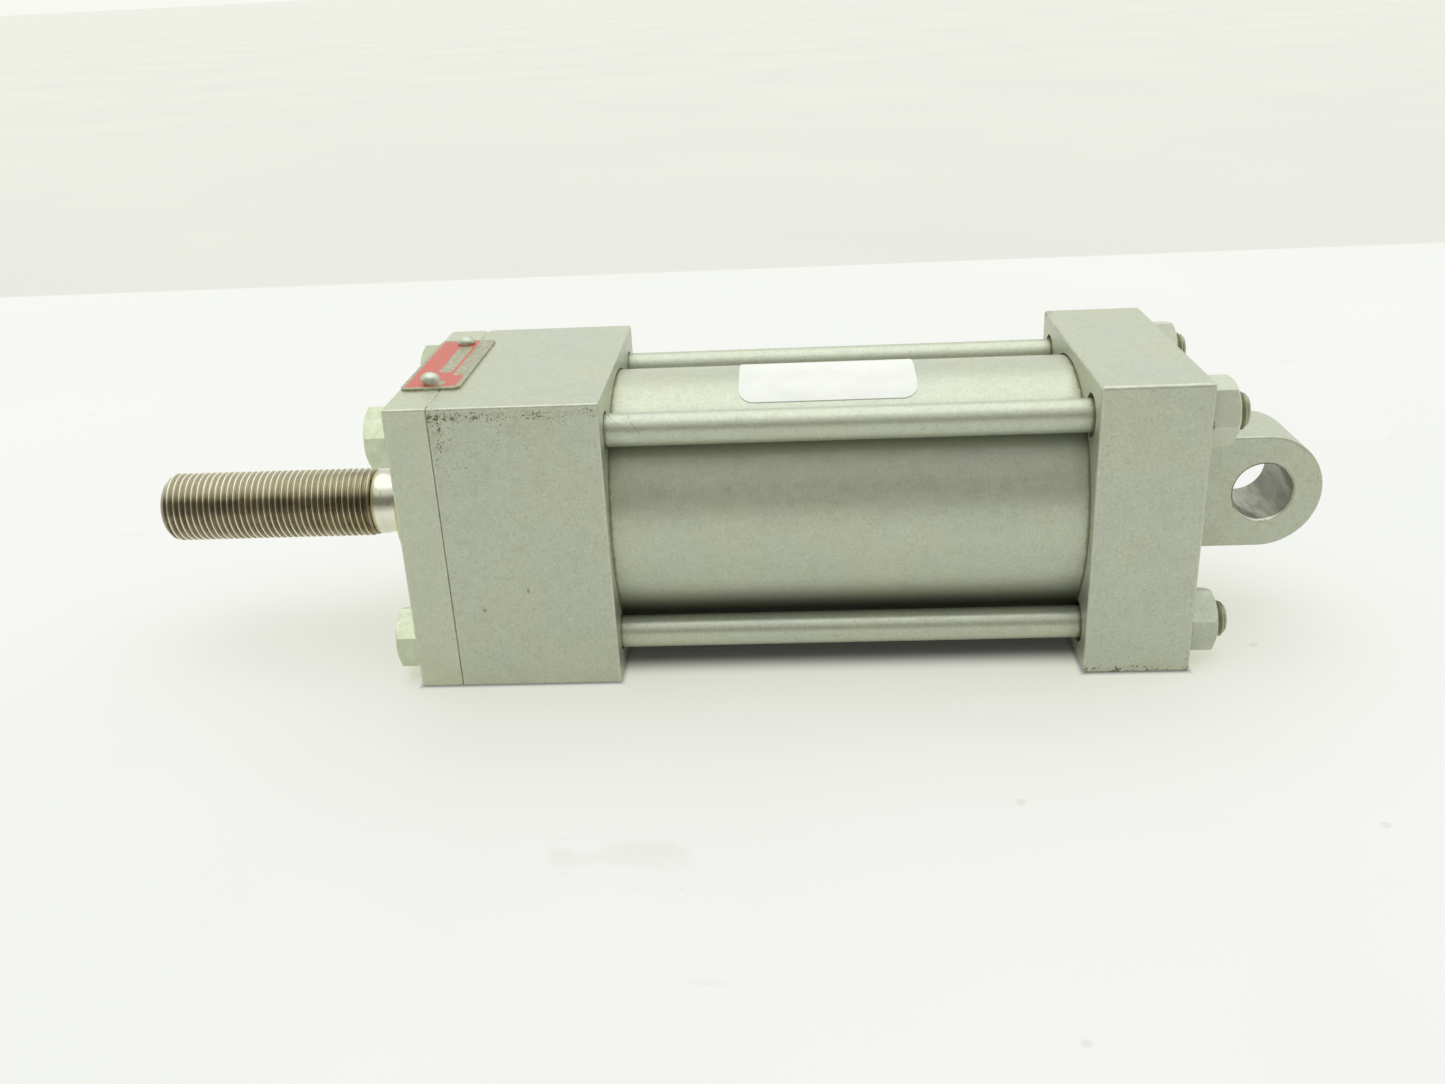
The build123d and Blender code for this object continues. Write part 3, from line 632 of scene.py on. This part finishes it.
def thread_steel():
    """Machined thread: bright crests with a painted highlight and a painted dark reflection band,
    brown oily grooves with a painted highlight on their upper side, fine turning marks and a stained
    neck with painted shade on top.
    """
    s = Shader("thread_steel")
    x, y, z = s.axes()
    patch = s.noise(5 * MM, 3, 0.6)
    depth = s.ragged(s.length(y, z), 0.03 * MM, patch)
    groove = s.ramp(depth, ROD_RADIUS - 0.24 * MM, ROD_RADIUS - 0.07 * MM, 1.0, 0.0)
    groove = s.times(groove, s.ramp(x, X_THREAD_END + 1.2 * MM, X_THREAD_END + 0.2 * MM))
    groove_oil_and_highlight = s.blend(s.noise(3 * MM, 3, 0.6), THREAD_OIL)
    # Painted highlight: grooves lighter on their upper side.
    groove_oil_and_highlight = s.mix(s.ramp(z, 3.4 * MM, 5.2 * MM, 0.0, 0.8), groove_oil_and_highlight, THREAD_GROOVE_HIGHLIGHT)
    tone = s.blend(patch, THREAD_CREST)
    # Painted light: crests take a painted highlight outside a band just above the axis, and
    # THREAD_SHADE lays a painted dark reflection inside it.
    tone = s.mix(s.band(z, 0.4 * MM, 4.2 * MM, 2.0 * MM), THREAD_CREST_HIGHLIGHT, tone)
    tone = s.mix(s.times(groove, 0.90), tone, groove_oil_and_highlight)
    shade = s.times(s.band(z, 0.6 * MM, 3.8 * MM, 1.0 * MM), 0.30)
    tone = s.mix(shade, tone, THREAD_SHADE)
    # Neck: a dull tone, with painted shade towards its top.
    neck = s.ramp(x, X_THREAD_END - 0.1 * MM, X_THREAD_END + 0.2 * MM)
    tone = s.mix(s.times(neck, s.ramp(z, 3.0 * MM, 4.4 * MM, 0.22, 0.55)), tone, NECK_DULL_AND_SHADE)
    stain = s.times(neck, s.ramp(x, X_THREAD_END + 1.0 * MM, X_THREAD_END + 0.3 * MM))
    tone = s.mix(s.times(stain, 0.55), tone, NECK_STAIN)
    rough = s.ramp(s.noise(1.2 * MM, 3, 0.6), 0.3, 0.7, 0.20, 0.30)
    rough = s.plus(rough, s.times(groove, 0.14))
    turning = s.noise(0.22 * MM, 2, 0.5, s.mapped((1, 0.02, 0.02)))
    return s.finish(tone, rough, s.bump(turning, 0.006 * MM, 0.5), Metallic=1.0)


def chrome_rod():
    """Ground chrome rod with a faint polish grain around it."""
    s = Shader("chrome_rod")
    grain = s.noise(0.35 * MM, 3, 0.6, s.mapped((1, 0.05, 0.05)))
    rough = s.ramp(s.noise(6 * MM, 3, 0.6), 0.3, 0.7, 0.07, 0.13)
    return s.finish(s.blend(grain, CHROME), rough, s.bump(grain, 0.002 * MM, 0.4), Metallic=1.0)


def gland_iron():
    """Gland nose: machined iron with turning rings and an oily yellow film."""
    s = Shader("gland_iron")
    x, y, z = s.axes()
    ring_pitch = 0.32 * MM
    turn = s.times(s.plus(s.length(y, z), x), 2 * math.pi / ring_pitch)
    stain = s.noise(4 * MM, 4, 0.65)
    rough = s.ramp(stain, 0.3, 0.7, 0.30, 0.45)
    normal = s.bump(s.math("SINE", turn), 0.006 * MM, 0.5)
    return s.finish(s.blend(stain, GLAND), rough, normal, Metallic=0.85)


def piston_iron():
    """Piston and its nut: dark machined iron."""
    s = Shader("piston_iron")
    stain = s.noise(5 * MM, 4, 0.6)
    rings = s.noise(0.3 * MM, 2, 0.5, s.mapped((1, 0.03, 0.03)))
    rough = s.ramp(stain, 0.3, 0.7, 0.28, 0.42)
    return s.finish(s.blend(stain, IRON), rough, s.bump(rings, 0.006 * MM, 0.5), Metallic=0.9)


def screw_steel():
    """Drive screws of the nameplate: dull, slightly painted domes."""
    s = Shader("screw_steel")
    patch = s.noise(1.6 * MM, 4, 0.65)
    rough = s.ramp(patch, 0.3, 0.7, 0.34, 0.50)
    normal = s.bump(s.noise(1.1 * MM, 3, 0.6), 0.06 * MM, 0.7)
    return s.finish(s.blend(patch, SCREW), rough, normal, Metallic=0.7)


def label_film():
    """Blank white gloss film with a slightly uneven, smudged surface."""
    s = Shader("label_film")
    smudge = s.noise(9 * MM, 4, 0.6)
    tone = s.blend(smudge, (LABEL_WHITE, LABEL_SMUDGE), 0.35, 0.75)
    rough = s.ramp(smudge, 0.3, 0.7, 0.22, 0.34)
    normal = s.bump(s.noise(5 * MM), 0.03 * MM, 0.3)
    return s.finish(tone, rough, normal, Specular_IOR_Level=0.5)


def badge_patch(s, x, y, patch):
    """1 inside one rectangle of the nameplate."""
    (x_low, x_high), (y_low, y_high) = patch
    soft = 0.15 * MM
    return s.times(s.band(x, x_low * MM, x_high * MM, soft), s.band(y, y_low * MM, y_high * MM, soft))


def badge_foil():
    """Nameplate: brushed metal with a worn red print around blank windows."""
    s = Shader("badge_foil")
    x, y, _ = s.axes()
    x = s.minus(x, plate_low.x)
    red = s.most(0.0, *[badge_patch(s, x, y, patch) for patch in BADGE_PRINT])
    red = s.minus(red, badge_patch(s, x, y, BADGE_WINDOW))
    wear = s.noise(1.3 * MM, 5, 0.75, warp=0.6)
    streak = s.noise(0.9 * MM, 4, 0.7, s.mapped((1.0, 0.18, 1.0), (0, 0, -12)))
    worn = s.most(s.ramp(wear, 0.54, 0.68), s.ramp(streak, 0.58, 0.70, 0.0, 0.8))
    red = s.times(red, s.minus(1.0, s.times(worn, 0.70)))
    metal = s.blend(s.noise(1.4 * MM, 4, 0.65), BADGE_METAL)
    brown = s.ramp(s.noise(2.2 * MM, 5, 0.7), 0.52, 0.68, 0.0, 0.8)
    metal = s.mix(brown, metal, BADGE_BROWN)
    gold = s.ramp(s.noise(1.0 * MM, 4, 0.7), 0.58, 0.66, 0.0, 0.8)
    metal = s.mix(gold, metal, BADGE_GOLD)
    tone = s.mix(red, metal, BADGE_RED)
    rough = s.ramp(wear, 0.3, 0.7, 0.34, 0.48)
    normal = s.bump(s.noise(3.5 * MM, 3, 0.5), 0.10 * MM, 0.35)
    normal = s.bump(red, 0.03 * MM, 0.5, normal)
    return s.finish(tone, rough, normal, Metallic=0.35, Specular_IOR_Level=0.5)


def black_rubber():
    """Nitrile rings and seals."""
    s = Shader("black_rubber")
    dust = s.noise(2 * MM, 3, 0.6)
    tone = s.blend(dust, (RUBBER, RUBBER_DUST), 0.4, 0.8)
    return s.finish(tone, s.ramp(dust, 0.3, 0.7, 0.45, 0.6), s.bump(dust, 0.02 * MM, 0.3))


def wiper_urethane():
    """Urethane wiper, rod seal and cup seals."""
    s = Shader("wiper_urethane")
    dust = s.noise(2 * MM, 3, 0.6)
    tone = s.blend(dust, (URETHANE, URETHANE_DUST), 0.35, 0.75)
    return s.finish(tone, s.ramp(dust, 0.3, 0.7, 0.38, 0.55), s.bump(dust, 0.02 * MM, 0.3))


def white_ptfe():
    """Backup ring."""
    s = Shader("white_ptfe")
    cloud = s.noise(3 * MM, 3, 0.5)
    rough = s.ramp(cloud, 0.3, 0.7, 0.35, 0.5)
    return s.finish(s.blend(cloud, PTFE), rough, s.bump(cloud, 0.01 * MM, 0.3))


def bronze_ptfe():
    """Wear ring of bronze-filled plastic."""
    s = Shader("bronze_ptfe")
    fleck = s.noise(0.4 * MM, 4, 0.7)
    tone = s.blend(fleck, (BRONZE, BRONZE_FLECK), 0.35, 0.7)
    rough = s.ramp(fleck, 0.3, 0.7, 0.4, 0.55)
    return s.finish(tone, rough, s.bump(fleck, 0.01 * MM, 0.3), Metallic=0.2)


def floor_glow_shadow(s, x, y):
    """How strongly the floor glows, a painted shadow: less under the cylinder, least under its two
    blocks.
    """
    beyond_sides = s.minus(s.size_of(y), HALF_BLOCK)

    def beyond(start, end):
        past_ends = s.minus(s.size_of(s.minus(x, (start + end) / 2)), (end - start) / 2)
        return s.most(past_ends, beyond_sides)

    light = s.ramp(beyond(plate_low.x, X_CAP_BACK), -11.75 * MM, -2.25 * MM, 0.05, 1.0)
    for start, end in ((plate_low.x, X_HEAD_BACK), (X_CAP_FRONT, X_CAP_BACK)):
        light = s.times(light, s.ramp(beyond(start, end), -0.3 * MM, 1.1 * MM, 0.30, 1.0))
    return light


def floor_board():
    """Pale table top with faint scuffs, slightly greyer far behind the object, glowing evenly except
    for a painted shadow under the object.
    """
    s = Shader("floor_board")
    x, y, _ = s.axes()
    cloud = s.noise(0.25, 4, 0.55)
    tone = s.blend(cloud, FLOOR)
    streak = s.noise(0.030, 5, 0.7, s.mapped((0.25, 1.0, 1.0), (0, 0, 35)), warp=0.8)
    tone = s.mix(s.ramp(streak, 0.66, 0.72, 0.0, 0.16), tone, FLOOR_SCUFF)
    tone = s.mix(s.ramp(s.cells(0.028), 0.045, 0.02, 0.0, 0.22), tone, FLOOR_DUST)
    far = s.ramp(y, FLOOR_CHANGE - FLOOR_CHANGE_SOFT, FLOOR_CHANGE + FLOOR_CHANGE_SOFT)
    tone = s.mix(far, tone, FLOOR_FAR)
    # Painted shadow: the glow fades under the object; the glow is warmer than the bluish lit part, so
    # shadows come out warm.
    glow = s.mix(floor_glow_shadow(s, x, y), BLACK, s.tint(tone, FLOOR_WARM))
    s.put(glow, s.surface.inputs["Emission Color"])
    s.surface.inputs["Emission Strength"].default_value = FLOOR_GLOW
    paint = s.tint(tone, (FLOOR_PAINT, FLOOR_PAINT, FLOOR_PAINT * FLOOR_PAINT_BLUE))
    rough = s.ramp(cloud, 0.3, 0.7, 0.50, 0.60)
    return s.finish(paint, rough, Specular_IOR_Level=0.1)


# === Turned and threaded pieces ===================================================

# One thread turn: distance along the axis as a share of the pitch, and depth as a share.
THREAD_SHAPE = (
    (0.00, 0.10), (0.03, 0.02), (0.06, 0.00), (0.09, 0.02), (0.12, 0.10), (0.32, 0.52),
    (0.49, 0.93), (0.53, 1.00), (0.59, 1.00), (0.63, 0.93), (0.80, 0.52),
)


def mesh_piece(name, mesh_builder, body, slot, material, *nodes, sharp=32):
    """New piece from a bmesh: clean, smooth, riding on a body and standing in for CAD nodes."""
    mesh = bmesh.new()
    mesh_builder(mesh)
    bmesh.ops.remove_doubles(mesh, verts=mesh.verts, dist=WELD_DISTANCE)
    bmesh.ops.dissolve_degenerate(mesh, edges=mesh.edges, dist=SLIVER_LENGTH)
    bmesh.ops.recalc_face_normals(mesh, faces=mesh.faces)
    for face in mesh.faces:
        face.smooth = True
    for edge in mesh.edges:
        edge.smooth = not (edge.is_manifold and edge.calc_face_angle(0) > math.radians(sharp))
    data = bpy.data.meshes.new(name)
    mesh.to_mesh(data)
    mesh.free()
    data.materials.append(material)
    piece = bpy.data.objects.new(name, data)
    bpy.context.scene.collection.objects.link(piece)
    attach(piece, body)
    if nodes:
        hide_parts(*nodes)
    return piece


def skin(mesh, rows, closed):
    """Quads between rows of vertices, each row running once around the axis."""
    for first, second in zip(rows, rows[1:]):
        count = len(first)
        for k in range(count if closed else count - 1):
            after = (k + 1) % count
            corners = [first[k], first[after], second[after], second[k]]
            if len({tuple(v.co) for v in corners}) > 2:
                mesh.faces.new(corners)


def revolve_outline(outline, y=0.0, z=0.0, steps=ROUND_STEPS):
    """Mesh builder: (x, radius) points turned about the line through y, z; radius 0 closes an end."""

    def build(mesh):
        rows = []
        for x, radius in outline:
            row = []
            for k in range(steps):
                angle = 2 * math.pi * k / steps
                point = (x, y + radius * math.cos(angle), z + radius * math.sin(angle))
                row.append(mesh.verts.new(point))
            rows.append(row)
        skin(mesh, rows, closed=True)

    return build


def helix_rows(mesh, x_start, x_end, radius, pitch, depth, limit, y, z, steps):
    """Rows of a right-hand helical thread, flat at both ends and held within limit(x)."""
    turns = int(math.ceil((x_end - x_start) / pitch)) + 2
    rows = []
    for turn in range(-1, turns):
        for share, sink in THREAD_SHAPE:
            row = []
            for k in range(steps + 1):
                angle = 2 * math.pi * k / steps
                x = x_start + pitch * (turn + share + k / steps)
                x = min(max(x, x_start), x_end)
                r = min(radius - depth * sink, limit(x))
                row.append(mesh.verts.new((x, y + r * math.cos(angle), z + r * math.sin(angle))))
            rows.append(row)
    return rows


def rod_thread_mesh(mesh):
    """Helical thread of the rod, from its chamfered tip to where it fades into the run-out."""

    def limit(x):
        fade = RUNOUT_RADIUS + 0.02 * MM + (X_THREAD_END - x) * RUNOUT_TAPER
        return min(ROD_RADIUS, ROD_RADIUS - TIP_CHAMFER + (x - rod_low.x), fade)

    rows = helix_rows(
        mesh, rod_low.x, X_THREAD_END, ROD_RADIUS, THREAD_PITCH, THREAD_DEPTH, limit, 0, 0, ROUND_STEPS
    )
    skin(mesh, rows, closed=False)


def flare_outline():
    """Run-out band, a small step to the relief, and the concave flare up to the full rod."""
    points = [
        (X_THREAD_END, ROD_RADIUS - THREAD_DEPTH),
        (X_THREAD_END + 0.10 * MM, RUNOUT_RADIUS - 0.10 * MM),
        (X_THREAD_END + 0.30 * MM, RUNOUT_RADIUS),
        (X_RUNOUT_END - 0.20 * MM, RUNOUT_RADIUS),
        (X_RUNOUT_END + 0.10 * MM, RUNOUT_RADIUS - 0.06 * MM),
        (X_RUNOUT_END + 0.50 * MM, RELIEF_RADIUS + 0.05 * MM),
        (X_RUNOUT_END + 0.90 * MM, RELIEF_RADIUS),
    ]
    for k in range(FLARE_STEPS + 1):
        angle = k / FLARE_STEPS * math.pi / 2
        points.append((
            X_RELIEF_END + FLARE_LENGTH * math.sin(angle),
            RELIEF_RADIUS + (ROD_RADIUS - RELIEF_RADIUS) * (1 - math.cos(angle)),
        ))
    return points


def build_rod(steel, chrome):
    """The piston rod: threaded end, and the plain rod with its piston stud."""

    def threaded(mesh):
        rod_thread_mesh(mesh)
        revolve_outline([(rod_low.x, 0.0), (rod_low.x, ROD_RADIUS - TIP_CHAMFER)])(mesh)
        revolve_outline([(X_THREAD_END, CORE_RADIUS)] + flare_outline())(mesh)

    mesh_piece("rod_thread", threaded, "rod", "rod_steel", steel, "piston_rod", sharp=38)
    plain = [
        (X_RELIEF_END + FLARE_LENGTH, CORE_RADIUS),
        (X_RELIEF_END + FLARE_LENGTH, ROD_RADIUS),
        (X_PISTON_SHOULDER, ROD_RADIUS),
        (X_PISTON_SHOULDER, STUD_RADIUS),
        (rod_high.x - STUD_CHAMFER, STUD_RADIUS),
        (rod_high.x, STUD_RADIUS - STUD_CHAMFER),
        (rod_high.x, 0.0),
    ]
    mesh_piece("rod_shaft", revolve_outline(plain), "rod", "rod_steel", chrome, "piston_rod")


def build_tie_rod(corner, material):
    """A tie rod: plain body with a rolled thread on the end that stands out of the nut."""
    node = "tie_rod_" + corner
    low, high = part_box(node)
    y, z = (low.y + high.y) / 2, (low.z + high.z) / 2
    x_thread = (X_CAP_FRONT + X_CAP_BACK) / 2
    x_body = X_HEAD_BACK - TIE_BODY_INSET
    tip_radius = TIE_THREAD_RADIUS - TIE_TIP_CHAMFER

    def limit(x):
        return min(TIE_THREAD_RADIUS, tip_radius + (high.x - x))

    def build(mesh):
        rows = helix_rows(
            mesh, x_thread, high.x, TIE_THREAD_RADIUS, TIE_THREAD_PITCH, TIE_THREAD_DEPTH,
            limit, y, z, SMALL_STEPS,
        )
        skin(mesh, rows, closed=False)
        outline = [
            (low.x, 0.0),
            (low.x, TIE_THREAD_RADIUS - TIE_INNER_CHAMFER),
            (low.x + TIE_INNER_CHAMFER, TIE_THREAD_RADIUS),
            (x_body, TIE_THREAD_RADIUS),
            (x_body + TIE_BODY_STEP, TIE_BODY_RADIUS),
            (x_thread, TIE_BODY_RADIUS),
            (x_thread, CORE_RADIUS),
        ]
        revolve_outline(outline, y, z, SMALL_STEPS)(mesh)
        revolve_outline([(high.x, 0.0), (high.x, tip_radius)], y, z, SMALL_STEPS)(mesh)

    mesh_piece(node + "_threaded", build, "barrel", "grey_paint", material, node)


def build_seam_bead(material):
    """Bead of paint lying in the seam between retainer plate and head, along the top face."""

    def build(mesh):
        rows = []
        for k in range(BEAD_STEPS + 1):
            y = -BEAD_REACH + 2 * BEAD_REACH * k / BEAD_STEPS
            wave = (0.025 * math.sin(k * 0.9) + 0.015 * math.sin(k * 2.3)) * MM
            top = HALF_BLOCK - BEAD_BELOW_TOP - wave
            rows.append([mesh.verts.new(point) for point in (
                (plate_high.x - BEAD_HALF_WIDTH, y, top),
                (plate_high.x + BEAD_HALF_WIDTH, y, top),
                (plate_high.x, y, top - BEAD_DEPTH),
            )])
        skin(mesh, rows, closed=True)
        mesh.faces.new(rows[0])
        mesh.faces.new(rows[-1])

    mesh_piece("seam_bead", build, "barrel", "grey_paint", material)


def build_drive_screw(end, rim, height, nudge, lean, material):
    """Hammered-in screw of the nameplate: a slightly leaning domed head on its plain shank."""
    node = "nameplate_screw_" + end
    low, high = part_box(node)
    x_mid, y_mid = (low.x + high.x) / 2, (low.y + high.y) / 2
    radius, z_seat = (high.x - low.x) / 2, high.z - DRIVE_HEAD_HEIGHT
    shank_end = low.z - z_seat

    def build(mesh):
        outline = [
            (shank_end, 0.0),
            (shank_end, DRIVE_SHANK_RADIUS),
            (0.0, DRIVE_SHANK_RADIUS),
            (0.0, DRIVE_UNDERSIDE_SHARE * radius),
        ]
        for k in range(DOME_STEPS + 1):
            angle = k / DOME_STEPS * math.pi / 2
            outline.append((rim + (height - rim) * math.sin(angle), radius * math.cos(angle)))
        revolve_outline(outline, steps=SMALL_STEPS)(mesh)
        for vertex in mesh.verts:
            up, across, away = vertex.co
            above = max(up, 0.0)
            squeeze = 1 - DRIVE_SQUEEZE * (above > 0)
            vertex.co = (
                x_mid + across + nudge * min(above / rim, 1.0) + lean[0] * above,
                y_mid + away * squeeze + lean[1] * above,
                z_seat + up,
            )

    mesh_piece("drive_screw_" + end, build, "barrel", "screw_steel", material, node, sharp=50)


# === Stage, lights and camera =====================================================


def build_floor():
    """Wide pale floor under the object."""
    mesh = bpy.data.meshes.new("floor")
    signs = ((-1, -1), (1, -1), (1, 1), (-1, 1))
    corners = [(x * FLOOR_HALF, y * FLOOR_HALF, cad_box[0].z) for x, y in signs]
    mesh.from_pydata(corners, [], [(0, 1, 2, 3)])
    mesh.materials.append(floor_board())
    floor = bpy.data.objects.new("floor", mesh)
    bpy.context.scene.collection.objects.link(floor)


def fill_ramp(ramp, stops):
    """Sets a colour ramp's stops."""
    while len(ramp.elements) > 1:
        ramp.elements.remove(ramp.elements[-1])
    for k, (place, colour) in enumerate(stops):
        element = ramp.elements[0] if k == 0 else ramp.elements.new(place)
        element.position = place
        element.color = (*colour, 1.0)


def build_world():
    """Soft room light: bright overhead, dimmer at mid height towards the viewer's side."""
    world = bpy.data.worlds.new("studio")
    bpy.context.scene.world = world
    world.use_nodes = True
    nodes, links = world.node_tree.nodes, world.node_tree.links
    background = nodes["Background"]
    split = nodes.new("ShaderNodeSeparateXYZ")
    links.new(nodes.new("ShaderNodeTexCoord").outputs["Generated"], split.inputs[0])

    def height_ramp(stops):
        node = nodes.new("ShaderNodeValToRGB")
        links.new(split.outputs[2], node.inputs[0])
        fill_ramp(node.color_ramp, stops)
        return node.outputs[0]

    side = nodes.new("ShaderNodeMapRange")
    side.interpolation_type = "SMOOTHSTEP"
    links.new(split.outputs[1], side.inputs["Value"])
    for socket, number in zip(side.inputs[1:5], (*ROOM_DIM_SIDE, 1.0, 0.0)):
        socket.default_value = number
    dim = nodes.new("ShaderNodeMath")
    dim.operation = "MULTIPLY"
    links.new(side.outputs[0], dim.inputs[0])
    links.new(height_ramp(ROOM_DIM_STOPS), dim.inputs[1])
    blend = nodes.new("ShaderNodeMix")
    blend.data_type = "RGBA"
    links.new(dim.outputs[0], blend.inputs[0])
    links.new(height_ramp(SKY_STOPS), blend.inputs[6])
    blend.inputs[7].default_value = ROOM_DIM
    links.new(blend.outputs[2], background.inputs["Color"])
    background.inputs["Strength"].default_value = 1.0


def build_softbox():
    """Large even overhead light, tilted a little past the zenith to the far side."""
    lamp = bpy.data.lights.new("softbox", "SUN")
    lamp.angle = math.radians(SOFTBOX_SPREAD)
    lamp.energy = SOFTBOX_STRENGTH
    lamp.color = SOFTBOX_COLOUR
    light = bpy.data.objects.new("softbox", lamp)
    light.rotation_euler = (math.radians(-SOFTBOX_TILT), 0.0, 0.0)
    bpy.context.scene.collection.objects.link(light)


def build_camera():
    """Camera slightly above the object, looking down at it from the near side."""
    data = bpy.data.cameras.new("camera")
    data.sensor_width = CAMERA_SENSOR
    data.lens = CAMERA_LENS
    data.clip_start, data.clip_end = CAMERA_CLIP
    camera = bpy.data.objects.new("camera", data)
    camera.location = CAMERA_PLACE
    camera.rotation_euler = [math.radians(angle) for angle in CAMERA_TURN]
    bpy.context.scene.collection.objects.link(camera)
    bpy.context.scene.camera = camera


# === Assembly =====================================================================


def dress(material, *names):
    """Gives CAD nodes their material."""
    for name in names:
        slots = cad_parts[name].data.materials
        slots.clear()
        slots.append(material)


dress(plate_paint(), "retainer_plate")
dress(head_paint(), "head")
dress(cap_paint(), "rear_cap")
dress(tube_paint(), "barrel_tube")
dress(nut_paint(), *["tie_rod_nut_" + corner for corner in CORNERS])
dress(zinc_plate(), *["retainer_screw_" + corner for corner in CORNERS])
dress(gland_iron(), "rod_gland")
dress(piston_iron(), "piston", "piston_nut")
dress(badge_foil(), "nameplate")
dress(label_film(), "barrel_label")
dress(black_rubber(), "head_tube_seal", "cap_tube_seal", "gland_o_ring", "piston_bore_o_ring")
dress(wiper_urethane(), "rod_wiper", "rod_seal", "piston_seal_front", "piston_seal_back")
dress(white_ptfe(), "gland_backup_ring")
dress(bronze_ptfe(), "piston_wear_ring")

build_rod(thread_steel(), chrome_rod())
tie_paint = tie_rod_paint()
for corner in CORNERS:
    build_tie_rod(corner, tie_paint)
build_seam_bead(bead_paint())
drive_steel = screw_steel()
dress(drive_steel, "nameplate_screw_near", "nameplate_screw_far")
build_drive_screw("near", 0.95 * MM, 2.45 * MM, -0.45 * MM, (-0.05, -0.06), drive_steel)
build_drive_screw("far", 0.45 * MM, 1.85 * MM, 0.0, (0.05, 0.04), drive_steel)

build_floor()
build_world()
build_softbox()
build_camera()
bpy.context.scene.view_settings.view_transform = "Standard"
